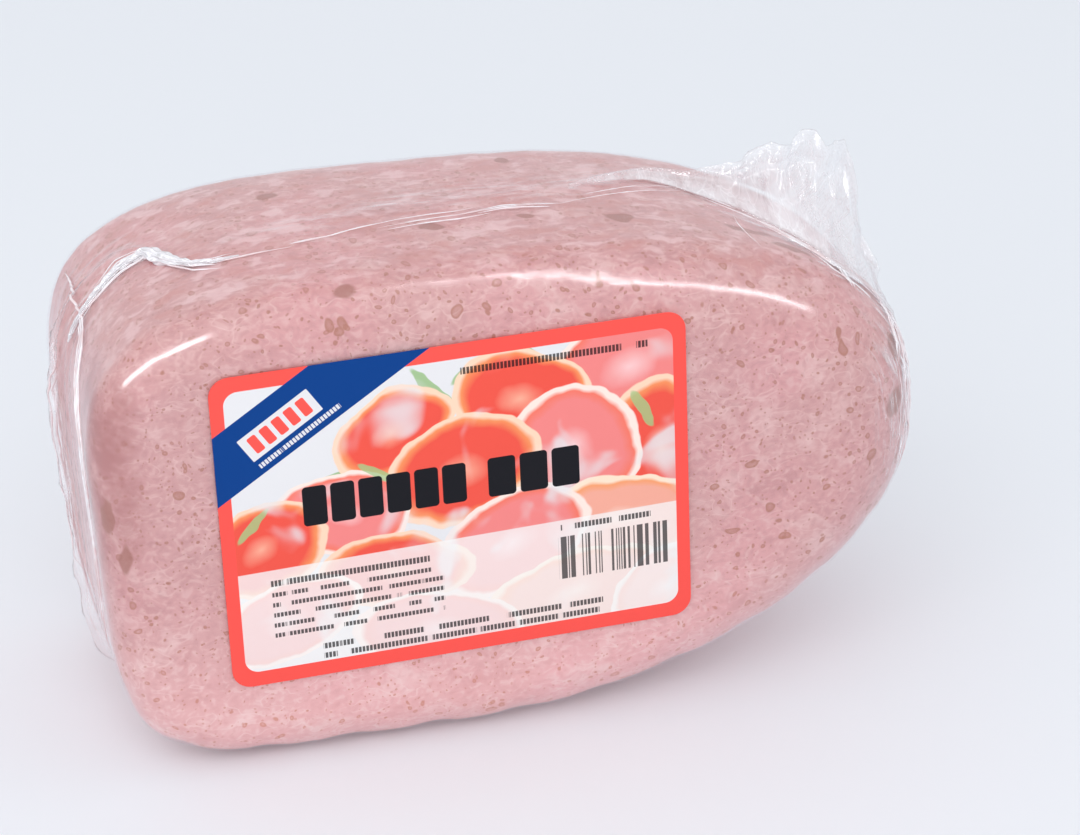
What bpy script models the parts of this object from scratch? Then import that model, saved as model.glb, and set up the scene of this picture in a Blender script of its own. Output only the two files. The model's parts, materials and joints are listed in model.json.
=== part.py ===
"""A pressed cooked ham loaf, sealed in clear film, with a blank adhesive label on its face.

Metres, +Z up. The labelled face looks towards -Y, and the round end of the loaf, where the film
is gathered into a standing tail, points to +X. The origin is under the middle of the whole, on
the surface that it rests on. The shapes are first laid out from the middle of the label, with
the loaf's face at y = 0, and then moved there.
"""
import bmesh
import bpy
import numpy as np
from math import cos, pi, radians, sin

# The loaf seen from the front: its middle, how far it reaches each way, and how square each
# corner is, where 2 is an ellipse and more is squarer. The square end leans out towards its top
MIDDLE_X = 0.0093
MIDDLE_Z = -0.0032
REACH_LEFT = 0.1132
REACH_RIGHT = 0.1420
REACH_UP = 0.0700
REACH_DOWN = 0.0796
SQUARE_TOP_RIGHT = 2.7
SQUARE_TOP_LEFT = 3.9
SQUARE_BOTTOM_LEFT = 5.6
SQUARE_BOTTOM_RIGHT = 2.0
LEAN = 0.07

# The loaf seen from above: its depth, and the radius of its rims at the square end and at the
# round end
DEPTH = 0.1093
FRONT_RIM_SQUARE = 0.0138
FRONT_RIM_ROUND = 0.0370
BACK_RIM_SQUARE = 0.0190
BACK_RIM_ROUND = 0.0420

# How far the top swells between the rims, and how deep behind the face it is fullest
CROWN = 0.0062
CROWN_DEPTH = 0.0790

# The height at which the flat that it rests on cuts the loaf
REST_HEIGHT = -0.0816

# Shallow unevenness of the pressed meat, and the deeper dents along its lower front rim
UNEVEN = 0.0005
DENT = 0.0009
DENT_PITCH = 0.026

# The film's seam is a low ridge right round the loaf. Pairs of an angle in degrees and how deep
# behind the face the seam lies there
SEAM_DEPTHS = ((-100, 0.055), (0, 0.062), (26, 0.064), (70, 0.066), (80, 0.055), (90, 0.054),
               (96, 0.046), (110, 0.043), (118, 0.046), (126, 0.063), (145, 0.064),
               (165, 0.060), (195, 0.056), (260, 0.055))

# Ridges along the seam: the middle and half length of each in degrees, and its height
RIDGES = ((132, 15, 0.0045), (160, 26, 0.0050), (186, 26, 0.0042), (208, 22, 0.0040),
          (100, 30, 0.0010), (74, 16, 0.0015), (2, 22, 0.0014))

# The gathered tail: where it rises and falls along the seam in degrees, its height, its lean
# from upright towards the round end, how far its folds swing to each side, how long one fold is,
# and the notch between its two peaks
TAIL_START = 67
TAIL_FULL = 43
TAIL_FALL = 31.5
TAIL_END = 17
TAIL_HEIGHT = 0.0265
TAIL_LEAN = radians(8)
TAIL_SWING = 0.0042
TAIL_FOLD = 0.0150
NOTCH_ANGLE = 37.5
NOTCH_TO_PEAK = 4.5
NOTCH_SHARE = 0.08

# Points round the outline, spaced more closely where the film is gathered
STATIONS = 138
CLOSE_SPACING = 2.3
RIM_RINGS = 6
WALL_RINGS = 2

# The seam's cross section: pairs of a distance from its crest and a share of its height
CREST = ((-0.0120, 0.0), (-0.0070, 0.03), (-0.0042, 0.16), (-0.0022, 0.62), (0.0, 1.0),
         (0.0022, 0.62), (0.0042, 0.16), (0.0070, 0.03), (0.0120, 0.0))

# The label: its size, corner radius, tilt, thickness and the gap behind it
LABEL_WIDTH = 0.140
LABEL_HEIGHT = 0.100
LABEL_CORNER = 0.0058
LABEL_CORNER_STEPS = 6
LABEL_TILT = radians(2.2)
LABEL_THICKNESS = 0.0003
GAP = 0.0003

# Colour, roughness and metallic value of each sub-part
WRAPPED_HAM_LOOK = ((0.66, 0.38, 0.37, 1.0), 0.28, 0.0)
LABEL_LOOK = ((0.82, 0.81, 0.86, 1.0), 0.35, 0.0)


def smooth_step(start, end, value):
    """0 at start and 1 at end, easing in and out between them."""
    share = np.clip((value - start) / (end - start), 0.0, 1.0)
    return share * share * (3.0 - 2.0 * share)


def outline_point(angle):
    """The point of the loaf's outline at an angle, as four quarters of squared ellipses."""
    across = np.cos(angle)
    up = np.sin(angle)
    right = across >= 0.0
    top = up >= 0.0
    reach_x = np.where(right, REACH_RIGHT, REACH_LEFT)
    reach_z = np.where(top, REACH_UP, REACH_DOWN)
    square = np.where(top, np.where(right, SQUARE_TOP_RIGHT, SQUARE_TOP_LEFT),
                      np.where(right, SQUARE_BOTTOM_RIGHT, SQUARE_BOTTOM_LEFT))
    x = MIDDLE_X + reach_x * np.sign(across) * np.abs(across) ** (2.0 / square)
    above = reach_z * np.sign(up) * np.abs(up) ** (2.0 / square)
    lean = LEAN * above * np.sqrt(np.clip(-across, 0.0, 1.0))
    return x - lean, MIDDLE_Z + above


def ridge_height(degrees):
    """How high the seam stands at each angle, without the tail."""
    height = np.zeros_like(degrees)
    for middle, half, rise in RIDGES:
        away = np.abs((degrees - middle + 180.0) % 360.0 - 180.0) / half
        height = height + rise * np.where(away < 1.0, 0.5 + 0.5 * np.cos(pi * away), 0.0)
    return height


def tail_share(degrees):
    """0 away from the tail and 1 along its full height."""
    rise = smooth_step(TAIL_START, TAIL_FULL, degrees)
    fall = smooth_step(TAIL_END, TAIL_FALL, degrees)
    return rise * fall


def outline():
    """Stations round the outline: angle, place along it, x, z and the outward direction."""
    fine = np.linspace(0.0, 2.0 * pi, 4001)
    x, z = outline_point(fine)
    steps = np.hypot(np.diff(x), np.diff(z))
    along = np.concatenate([[0.0], np.cumsum(steps)])
    middle = np.degrees(0.5 * (fine[1:] + fine[:-1]))
    gathered = np.clip(tail_share(middle) * 3.0 + ridge_height(middle) / 0.004, 0.0, 1.0)
    count = np.concatenate([[0.0], np.cumsum(steps * (1.0 + (CLOSE_SPACING - 1.0) * gathered))])
    wanted = np.linspace(0.0, count[-1], STATIONS, endpoint=False)
    angle = np.interp(wanted, count, fine)
    place = np.interp(wanted, count, along)
    x, z = outline_point(angle)
    before_x, before_z = outline_point(angle - 0.004)
    after_x, after_z = outline_point(angle + 0.004)
    out_x = after_z - before_z
    out_z = before_x - after_x
    length = np.hypot(out_x, out_z)
    return angle, place, x, z, out_x / length, out_z / length


def round_end_share(angle):
    """0 at the square end and 1 at the round end."""
    return (0.5 + 0.5 * cos(angle)) ** 2


def section(length, front, back):
    """Inset from the outline, depth, and the slope outward and back, at a length round a side.

    The side goes round the front rim, straight back, and round the back rim.
    """
    front_arc = front * pi / 2.0
    wall = DEPTH - front - back
    if length < front_arc:
        turn = length / front
        return front * (1.0 - sin(turn)), front * (1.0 - cos(turn)), sin(turn), -cos(turn)
    if length < front_arc + wall:
        return 0.0, front + length - front_arc, 1.0, 0.0
    turn = (length - front_arc - wall) / back
    return back * (1.0 - cos(turn)), DEPTH - back + back * sin(turn), cos(turn), sin(turn)


def side_lengths(front, back, seam_depth):
    """Where the rings cross one station's side, and how long the side is."""
    front_arc = front * pi / 2.0
    wall_end = front_arc + DEPTH - front - back
    total = wall_end + back * pi / 2.0
    crest = front_arc + seam_depth - front
    first = crest + CREST[0][0]
    last = crest + CREST[-1][0]
    before = np.interp(np.arange(RIM_RINGS + WALL_RINGS), [0, RIM_RINGS, RIM_RINGS + WALL_RINGS],
                       [0.0, min(front_arc, first - 0.002), first])
    after = np.interp(np.arange(1, RIM_RINGS + WALL_RINGS + 1),
                      [0, WALL_RINGS, RIM_RINGS + WALL_RINGS],
                      [last, max(wall_end, last + 0.002), total])
    seam = [crest + pair[0] for pair in CREST]
    return np.concatenate([before, seam, after]), total


def loaf_rings():
    """The loaf in its film as rings of points, from the edge of its face to that of its back."""
    rings = []
    seam_angles = [pair[0] for pair in SEAM_DEPTHS]
    seam_depths = [pair[1] for pair in SEAM_DEPTHS]
    for angle, place, x, z, out_x, out_z in zip(*outline()):
        degrees = np.degrees(angle)
        turned = degrees - 360.0 if degrees > 260.0 else degrees
        share = round_end_share(angle)
        front = FRONT_RIM_SQUARE + (FRONT_RIM_ROUND - FRONT_RIM_SQUARE) * share
        back = BACK_RIM_SQUARE + (BACK_RIM_ROUND - BACK_RIM_SQUARE) * share
        seam_depth = np.interp(turned, seam_angles, seam_depths)
        lengths, total = side_lengths(front, back, seam_depth)
        tail = tail_share(np.array([degrees]))[0]
        peaks = 1.0 - NOTCH_SHARE * cos(pi * (degrees - NOTCH_ANGLE) / NOTCH_TO_PEAK)
        ridge = ridge_height(np.array([degrees]))[0]
        stand = TAIL_HEIGHT * tail * peaks
        swing = TAIL_SWING * tail * sin(place * 2.0 * pi / TAIL_FOLD)
        lower = max(0.0, -sin(angle))
        column = []
        for number, length in enumerate(lengths):
            inset, depth, outward, backward = section(length, front, back)
            span = CROWN_DEPTH if depth < CROWN_DEPTH else DEPTH - CROWN_DEPTH
            swell = CROWN * max(0.0, sin(angle)) ** 4 * (1.0 - ((depth - CROWN_DEPTH) / span) ** 2)
            fade = sin(pi * length / total) ** 2
            uneven = UNEVEN * fade * sin(place * 61.0 + 2.0) * sin(length * 83.0 + place * 27.0)
            rim = sin(pi * min(1.0, length / (front * pi / 2.0 + 0.012)))
            dent = -DENT * lower * rim * (0.5 + 0.5 * sin(place * 2.0 * pi / DENT_PITCH)) ** 2
            out = swell + uneven + dent
            from_seam = number - RIM_RINGS - WALL_RINGS
            lift = CREST[from_seam][1] if 0 <= from_seam < len(CREST) else 0.0
            reach = out * outward - inset + ridge * lift
            column.append((x + out_x * reach + stand * lift * sin(TAIL_LEAN),
                           depth + out * backward + swing * lift,
                           z + out_z * reach + stand * lift * cos(TAIL_LEAN)))
        rings.append(column)
    return np.array(rings).transpose(1, 0, 2)


def label_points():
    """The label's outline, a tilted rectangle with round corners, seen from the front."""
    points = []
    for corner, (side_x, side_z) in enumerate(((1, 1), (-1, 1), (-1, -1), (1, -1))):
        centre_x = side_x * (LABEL_WIDTH / 2.0 - LABEL_CORNER)
        centre_z = side_z * (LABEL_HEIGHT / 2.0 - LABEL_CORNER)
        for step in range(LABEL_CORNER_STEPS + 1):
            turn = (corner + step / LABEL_CORNER_STEPS) * pi / 2.0
            flat_x = centre_x + LABEL_CORNER * cos(turn)
            flat_z = centre_z + LABEL_CORNER * sin(turn)
            points.append((flat_x * cos(LABEL_TILT) - flat_z * sin(LABEL_TILT),
                           flat_x * sin(LABEL_TILT) + flat_z * cos(LABEL_TILT)))
    return points


def material(name, look):
    """A Principled material with the sub-part's colour, roughness and metallic value."""
    colour, roughness, metallic = look
    made = bpy.data.materials.new(name)
    made.use_nodes = True
    shader = made.node_tree.nodes["Principled BSDF"]
    shader.inputs["Base Color"].default_value = colour
    shader.inputs["Roughness"].default_value = roughness
    shader.inputs["Metallic"].default_value = metallic
    return made


def add_object(name, bm, look, sharp_angle):
    """Turn a bmesh into a named, smooth-shaded object with its own material."""
    mesh = bpy.data.meshes.new(name)
    bm.to_mesh(mesh)
    bm.free()
    mesh.shade_smooth()
    mesh.set_sharp_from_angle(angle=sharp_angle)
    mesh.materials.append(material(name, look))
    made = bpy.data.objects.new(name, mesh)
    bpy.context.scene.collection.objects.link(made)
    return made


def add_wrapped_ham(rings, shift):
    """The loaf, its film ridges and its tail as one closed solid with a flat to rest on."""
    bm = bmesh.new()
    loops = []
    for ring in rings:
        loops.append([bm.verts.new(tuple(point)) for point in ring])
    for front, back in zip(loops, loops[1:]):
        for number in range(STATIONS):
            following = (number + 1) % STATIONS
            bm.faces.new((front[number], front[following], back[following], back[number]))
    bm.faces.new(loops[0])
    bm.faces.new(loops[-1])
    cut = bmesh.ops.bisect_plane(bm, geom=bm.verts[:] + bm.edges[:] + bm.faces[:],
                                 plane_co=(0.0, 0.0, REST_HEIGHT), plane_no=(0.0, 0.0, -1.0),
                                 clear_outer=True)
    rim = [item for item in cut["geom_cut"] if isinstance(item, bmesh.types.BMEdge)]
    bmesh.ops.edgenet_fill(bm, edges=rim)
    bmesh.ops.recalc_face_normals(bm, faces=bm.faces)
    bmesh.ops.triangulate(bm, faces=bm.faces)
    bmesh.ops.translate(bm, verts=bm.verts, vec=shift)
    return add_object("wrapped_ham", bm, WRAPPED_HAM_LOOK, radians(50))


def add_label(shift):
    """The label, a thin plate just in front of the loaf's face."""
    bm = bmesh.new()
    outer = bm.faces.new([bm.verts.new((x, -GAP, z)) for x, z in label_points()])
    pulled = bmesh.ops.extrude_face_region(bm, geom=[outer])
    moved = [item for item in pulled["geom"] if isinstance(item, bmesh.types.BMVert)]
    bmesh.ops.translate(bm, verts=moved, vec=(0.0, -LABEL_THICKNESS, 0.0))
    bmesh.ops.recalc_face_normals(bm, faces=bm.faces)
    bmesh.ops.translate(bm, verts=bm.verts, vec=shift)
    return add_object("label", bm, LABEL_LOOK, radians(30))


def main():
    for old in list(bpy.data.objects):
        bpy.data.objects.remove(old)
    rings = loaf_rings()
    low = rings.min(axis=(0, 1))
    high = rings.max(axis=(0, 1))
    front = -GAP - LABEL_THICKNESS
    shift = (-(low[0] + high[0]) / 2.0, -(front + high[1]) / 2.0, -REST_HEIGHT)
    add_wrapped_ham(rings, shift)
    add_label(shift)


main()
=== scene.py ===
"""A pressed cooked ham loaf in clear gathered film, with a printed adhesive label on its face.

Metres, +Z up. The labelled face looks towards -Y. The loaf's shapes are laid out from the middle
of its label, with the loaf's face at y = 0, and moved to the frame's own place for the label.
"""
import json
from math import cos, pi, radians, sin

import bpy
import numpy as np
from bpy.props import FloatProperty, FloatVectorProperty, IntProperty, PointerProperty
from mathutils import Matrix, Vector

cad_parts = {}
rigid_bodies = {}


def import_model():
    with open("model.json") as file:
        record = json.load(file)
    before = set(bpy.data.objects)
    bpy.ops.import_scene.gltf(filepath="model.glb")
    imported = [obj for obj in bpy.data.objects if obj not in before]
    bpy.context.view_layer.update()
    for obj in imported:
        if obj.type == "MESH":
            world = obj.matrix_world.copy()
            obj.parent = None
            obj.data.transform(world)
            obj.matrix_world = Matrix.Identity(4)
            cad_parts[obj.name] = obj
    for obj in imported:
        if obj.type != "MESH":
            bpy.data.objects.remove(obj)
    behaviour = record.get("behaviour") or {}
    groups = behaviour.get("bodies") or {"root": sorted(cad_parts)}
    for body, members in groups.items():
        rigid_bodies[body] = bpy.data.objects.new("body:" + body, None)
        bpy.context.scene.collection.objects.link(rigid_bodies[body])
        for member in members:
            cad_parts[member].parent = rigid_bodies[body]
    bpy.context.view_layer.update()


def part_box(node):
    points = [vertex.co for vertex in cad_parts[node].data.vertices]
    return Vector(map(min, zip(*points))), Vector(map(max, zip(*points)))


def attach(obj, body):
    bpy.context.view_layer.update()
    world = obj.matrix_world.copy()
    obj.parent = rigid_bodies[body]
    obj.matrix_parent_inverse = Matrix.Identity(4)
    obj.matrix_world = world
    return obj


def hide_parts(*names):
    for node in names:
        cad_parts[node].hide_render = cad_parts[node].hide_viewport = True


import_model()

bl_info = {
    "name": "Film wrapped ham loaf",
    "version": (1, 0, 0),
    "blender": (4, 5, 0),
    "location": "View3D > Sidebar > Ham loaf",
    "description": "Builds a cooked ham loaf in clear film with a label",
    "category": "Add Mesh",
}

BODY = "root"
MILLIMETRE = 0.001
GAP = 0.0003
LABEL_LOW, LABEL_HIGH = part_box("label")
ORIGIN = np.array([(LABEL_LOW.x + LABEL_HIGH.x) / 2.0, LABEL_HIGH.y + GAP,
                   (LABEL_LOW.z + LABEL_HIGH.z) / 2.0])

# The loaf seen from the front, as four quarters of squared ellipses
MIDDLE = np.array([0.0093, 0.0, -0.0032])
REACH_LEFT = 0.1132
REACH_RIGHT = 0.1420
REACH_UP = 0.0700
REACH_DOWN = 0.0796
SQUARE_TOP_RIGHT = 2.7
SQUARE_TOP_LEFT = 3.9
SQUARE_BOTTOM_LEFT = 5.6
SQUARE_BOTTOM_RIGHT = 2.0
LEAN = 0.07

# The loaf seen from above, and the swell of its top
DEPTH = 0.1093
FRONT_RIM_SQUARE = 0.0138
FRONT_RIM_ROUND = 0.0370
BACK_RIM_SQUARE = 0.0190
BACK_RIM_ROUND = 0.0420
CROWN = 0.0062
CROWN_DEPTH = 0.0790
REST_HEIGHT = -0.0816

# Lumps of the meat and the finer grain on it, with the share of the lumps' height that the grain
# has, and that the film follows
LUMP_SIZE = 0.013
GRAIN_SIZE = 0.0045
GRAIN_SHARE = 0.35
SKIN_LUMP_SHARE = 0.35

# Half of the width and height round the label where the film stays flat, and how many steps
# there are from flat to free
LABEL_HALF = (0.070, 0.0535)
WEIGHT_LEVELS = 8

# Shares of the rings that cross the face and the back
FACE_SHARE = 0.17
BACK_SHARE = 0.14

# Shallow dents along the lower front rim
DENT = 0.0009
DENT_PITCH = 0.026

# The film's seam: an angle in degrees and how deep behind the face it lies there, the ridges
# along it as a middle, half length and height, and its cross section
SEAM_DEPTHS = ((-100, 0.055), (0, 0.062), (26, 0.064), (70, 0.066), (80, 0.055), (90, 0.054),
               (96, 0.046), (110, 0.043), (118, 0.046), (126, 0.063), (145, 0.064),
               (165, 0.060), (195, 0.056), (260, 0.055))
RIDGES = ((132, 15, 0.0030), (160, 26, 0.0046), (186, 26, 0.0042), (208, 22, 0.0040),
          (100, 30, 0.0006), (74, 16, 0.0012), (2, 22, 0.0014))
CREST_AWAY = (0.0, 0.0022, 0.0042, 0.0070, 0.0120)
CREST_SHARE = (1.0, 0.62, 0.30, 0.10, 0.0)

# Folds of the film beside its seam: the middle and half of the angles that they cover, how
# sharply they set in there, how far from the seam they reach, their height, and for each set of
# them its pitch, waviness, seed and share
SEAM_FOLDS = {
    "square_end": (170, 58, 0.5, 0.014, 0.0009, ((0.0075, 0.7, 3, 1.0), (0.0046, 0.9, 4, 0.6))),
    "round_end": (-2, 46, 1.0, 0.020, 0.0008, ((0.0090, 0.9, 5, 1.0), (0.0052, 1.0, 6, 0.5))),
    "top": (84, 34, 1.0, 0.010, 0.0004, ((0.0050, 0.8, 7, 1.0),)),
}

# The gathered tail: the height of its top edge, and how far its foot spreads to the front of the
# seam, as pairs of an angle in degrees and a distance. The tail's greatest height, and the share
# of the foot's spread that it has behind the seam
TAIL_TOP = ((-8, 0.0), (-3, 0.0012), (4, 0.0055), (8, 0.0090), (11.8, 0.0126), (16.8, 0.0118),
            (23.2, 0.0148), (25.6, 0.0192), (29.4, 0.0288), (32.2, 0.0326), (36.4, 0.0294),
            (38.2, 0.0268), (40.4, 0.0292), (42.8, 0.0278), (43.8, 0.0268), (45.6, 0.0216),
            (49.4, 0.0188), (52.0, 0.0158), (54.6, 0.0118), (57.8, 0.0078), (61.0, 0.0046),
            (64.0, 0.0026), (72.0, 0.0010), (80.0, 0.0))
TAIL_FOOT = ((-8, 0.006), (10, 0.024), (19, 0.035), (31.3, 0.037), (42.8, 0.036), (49.8, 0.029),
             (57.2, 0.019), (66, 0.008), (73, 0.004), (80, 0.0004))
TAIL_HEIGHT = 0.0326
BACK_FOOT_SHARE = 0.45

# Round the pouch of the tail, up its front wall, down the back one and forward inside the loaf:
# how high a point stands, which wall it is on from -1 in front to 1 behind, and how far it is
# inside, as pairs of a share of the way round and a value
TAIL_UP = ((0.0, 0.0), (0.46, 1.0), (0.92, 0.0), (1.0, 0.0))
TAIL_WALL = ((0.0, -1.0), (0.40, -1.0), (0.52, 1.0), (0.92, 1.0), (1.0, -1.0))
TAIL_WITHIN = ((0.92, 0.0), (0.94, 1.0), (0.98, 1.0), (1.0, 0.0))

# Paths on the film, as pairs of an angle in degrees and a length round the side from the face
BUNCH_PATH = ((158, 0.0612), (153.8, 0.0616), (146.5, 0.0621), (139, 0.0632), (131.2, 0.0654),
             (124, 0.0652), (119.5, 0.0539), (116, 0.0476), (111.8, 0.0448), (107.5, 0.0445))
TOP_PATH = ((111.8, 0.0448), (107.5, 0.0445), (101, 0.0449), (96, 0.0468), (91, 0.0524),
            (87, 0.0570), (81.8, 0.0570), (72.8, 0.0668), (61.8, 0.0745))
TAIL_PATH = ((76, 0.0745), (66, 0.0722), (61.8, 0.0676), (57.2, 0.0622), (49.8, 0.0527),
             (42.8, 0.0462), (36, 0.0462), (31.3, 0.0464), (22, 0.0470), (12, 0.0430),
             (0, 0.0390), (-14, 0.0390))
LEFT_PATH = ((150, 0.0680), (160, 0.0740), (168.8, 0.0760), (172.8, 0.0700), (179.5, 0.0700),
             (184, 0.0700), (192, 0.0760), (205, 0.0720))
WEB_PATH = ((149, 0.0960), (148, 0.0878), (148, 0.0720), (148.5, 0.0600), (153, 0.0500),
            (162.8, 0.0414), (168.5, 0.0355), (173.2, 0.0305), (179, 0.0300), (182, 0.0340),
            (190, 0.0430), (204, 0.0470))
FLARE_PATHS = (((59.0, 0.0600), (59.5, 0.0520), (59.0, 0.0440), (57.5, 0.0360)),
               ((47.0, 0.0560), (44.0, 0.0500), (40.5, 0.0440), (36.0, 0.0370)),
               ((33.0, 0.0540), (27.0, 0.0470), (21.0, 0.0400), (15.0, 0.0340)))
ROUND_PATH = ((24, 0.0480), (14, 0.0420), (5.5, 0.0390), (-4.2, 0.0380), (-13.2, 0.0390),
              (-24, 0.0440))

# The bunch's radius, as pairs of a share of its path and a radius, and the steps in which its
# path and those of the creases are followed
BUNCH_RADII = ((0.0, 0.0003), (0.08, 0.0008), (0.30, 0.0011), (0.52, 0.0014), (0.62, 0.0024),
               (0.72, 0.0014), (0.88, 0.0008), (1.0, 0.0002))
BUNCH_STEPS = 400
CREASE_STEPS = 220


# Shapes of the loaf and its film

def smooth_step(start, end, value):
    """0 at start and 1 at end, easing in and out between them."""
    share = np.clip((value - start) / (end - start), 0.0, 1.0)
    return share * share * (3.0 - 2.0 * share)


def near_angle(degrees, middle, half):
    """1 at the middle angle, easing to 0 at half a width away."""
    away = np.abs((degrees - middle + 180.0) % 360.0 - 180.0) / half
    return np.where(away < 1.0, 0.5 + 0.5 * np.cos(pi * np.clip(away, 0.0, 1.0)), 0.0)


def read_pairs(value, pairs):
    """Read a table of pairs of a place and a value, which may run either way."""
    table = sorted(pairs)
    return np.interp(value, [pair[0] for pair in table], [pair[1] for pair in table])


def signed(degrees):
    """Angles on the lower right as angles below 0."""
    return np.where(degrees > 260.0, degrees - 360.0, degrees)


def outline_point(angle):
    """The point of the loaf's outline at an angle, seen from the front."""
    across = np.cos(angle)
    up = np.sin(angle)
    right = across >= 0.0
    top = up >= 0.0
    reach_x = np.where(right, REACH_RIGHT, REACH_LEFT)
    reach_z = np.where(top, REACH_UP, REACH_DOWN)
    square = np.where(top, np.where(right, SQUARE_TOP_RIGHT, SQUARE_TOP_LEFT),
                      np.where(right, SQUARE_BOTTOM_RIGHT, SQUARE_BOTTOM_LEFT))
    x = MIDDLE[0] + reach_x * np.sign(across) * np.abs(across) ** (2.0 / square)
    above = reach_z * np.sign(up) * np.abs(up) ** (2.0 / square)
    lean = LEAN * above * np.sqrt(np.clip(-across, 0.0, 1.0))
    return x - lean, MIDDLE[2] + above


def outline_table():
    """Angles round the outline and the share of its length that lies before each."""
    angle = np.linspace(0.0, 2.0 * pi, 6001)
    x, z = outline_point(angle)
    along = np.concatenate([[0.0], np.cumsum(np.hypot(np.diff(x), np.diff(z)))])
    return angle, along / along[-1], along[-1]


OUTLINE_ANGLES, OUTLINE_SHARES, OUTLINE_LENGTH = outline_table()


def outline_place(angle):
    """How far along the outline an angle lies."""
    turned = np.mod(angle, 2.0 * pi)
    return np.interp(turned, OUTLINE_ANGLES, OUTLINE_SHARES) * OUTLINE_LENGTH


def outward(angle):
    """The outward direction of the outline in x and z."""
    before_x, before_z = outline_point(angle - 0.004)
    after_x, after_z = outline_point(angle + 0.004)
    out_x = after_z - before_z
    out_z = before_x - after_x
    length = np.hypot(out_x, out_z)
    return out_x / length, out_z / length


def rim_radii(angle):
    """The radius of the front and back rims at an angle."""
    share = (0.5 + 0.5 * np.cos(angle)) ** 2
    front = FRONT_RIM_SQUARE + (FRONT_RIM_ROUND - FRONT_RIM_SQUARE) * share
    back = BACK_RIM_SQUARE + (BACK_RIM_ROUND - BACK_RIM_SQUARE) * share
    return front, back


def side_length(angle):
    """How long the side is from the face round to the back."""
    front, back = rim_radii(angle)
    return (front + back) * pi / 2.0 + DEPTH - front - back


def side_section(angle, length):
    """Inset from the outline, depth, and the slope outward and back, at a length round a side."""
    front, back = rim_radii(angle)
    front_arc = front * pi / 2.0
    wall = DEPTH - front - back
    front_turn = np.clip(length / front, 0.0, pi / 2.0)
    back_turn = np.clip((length - front_arc - wall) / back, 0.0, pi / 2.0)
    inset = front * (1.0 - np.sin(front_turn)) + back * (1.0 - np.cos(back_turn))
    depth = (front * (1.0 - np.cos(front_turn)) + np.clip(length - front_arc, 0.0, wall)
             + back * np.sin(back_turn))
    on_front = length < front_arc
    slope_out = np.where(on_front, np.sin(front_turn), np.cos(back_turn))
    slope_back = np.where(on_front, -np.cos(front_turn), np.sin(back_turn))
    return inset, depth, slope_out, slope_back


def side_point(angle, length, lift=0.0):
    """Points and outward directions on the side, lifted off it by a distance."""
    inset, depth, slope_out, slope_back = side_section(angle, length)
    x, z = outline_point(angle)
    out_x, out_z = outward(angle)
    span = np.where(depth < CROWN_DEPTH, CROWN_DEPTH, DEPTH - CROWN_DEPTH)
    swell = (CROWN * np.clip(np.sin(angle), 0.0, 1.0) ** 4
             * (1.0 - ((depth - CROWN_DEPTH) / span) ** 2))
    front, _ = rim_radii(angle)
    place = outline_place(angle)
    rim = np.sin(pi * np.clip(length / (front * pi / 2.0 + 0.012), 0.0, 1.0))
    wave = (0.5 + 0.5 * np.sin(place * 2.0 * pi / DENT_PITCH)) ** 2
    dent = -DENT * np.clip(-np.sin(angle), 0.0, 1.0) * rim * wave
    reach = (swell + dent + lift) * slope_out - inset
    points = np.stack([x + out_x * reach, depth + (swell + lift) * slope_back,
                       z + out_z * reach], axis=-1)
    normals = np.stack([out_x * slope_out, slope_back, out_z * slope_out], axis=-1)
    return points, normals


def seam_length(degrees):
    """The length round the side at which the film's seam lies."""
    depth = read_pairs(signed(degrees), SEAM_DEPTHS)
    front, _ = rim_radii(np.radians(degrees))
    return front * pi / 2.0 + depth - front


def ridge_height(degrees):
    """How high the seam stands at each angle, without the tail."""
    return sum(rise * near_angle(degrees, middle, half) for middle, half, rise in RIDGES)


def wander(place, seed):
    """A slow wave from -1 to 1 that repeats after one turn round the outline."""
    turn = seed * 1.7
    step = place * 2.0 * pi / OUTLINE_LENGTH
    return (np.sin(step * 5.0 + turn) + 0.7 * np.sin(step * 12.0 + 2.3 * turn)
            + 0.5 * np.sin(step * 24.0 + 4.1 * turn)) / 2.2


def fold(value):
    """Sharp crests at whole numbers, with rounded valleys between them."""
    return (1.0 - np.abs(np.sin(pi * value))) ** 1.6


def near_distance(distance, reach):
    """1 at no distance, falling off smoothly over a reach."""
    return np.exp(-(distance / reach) ** 2)


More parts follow.
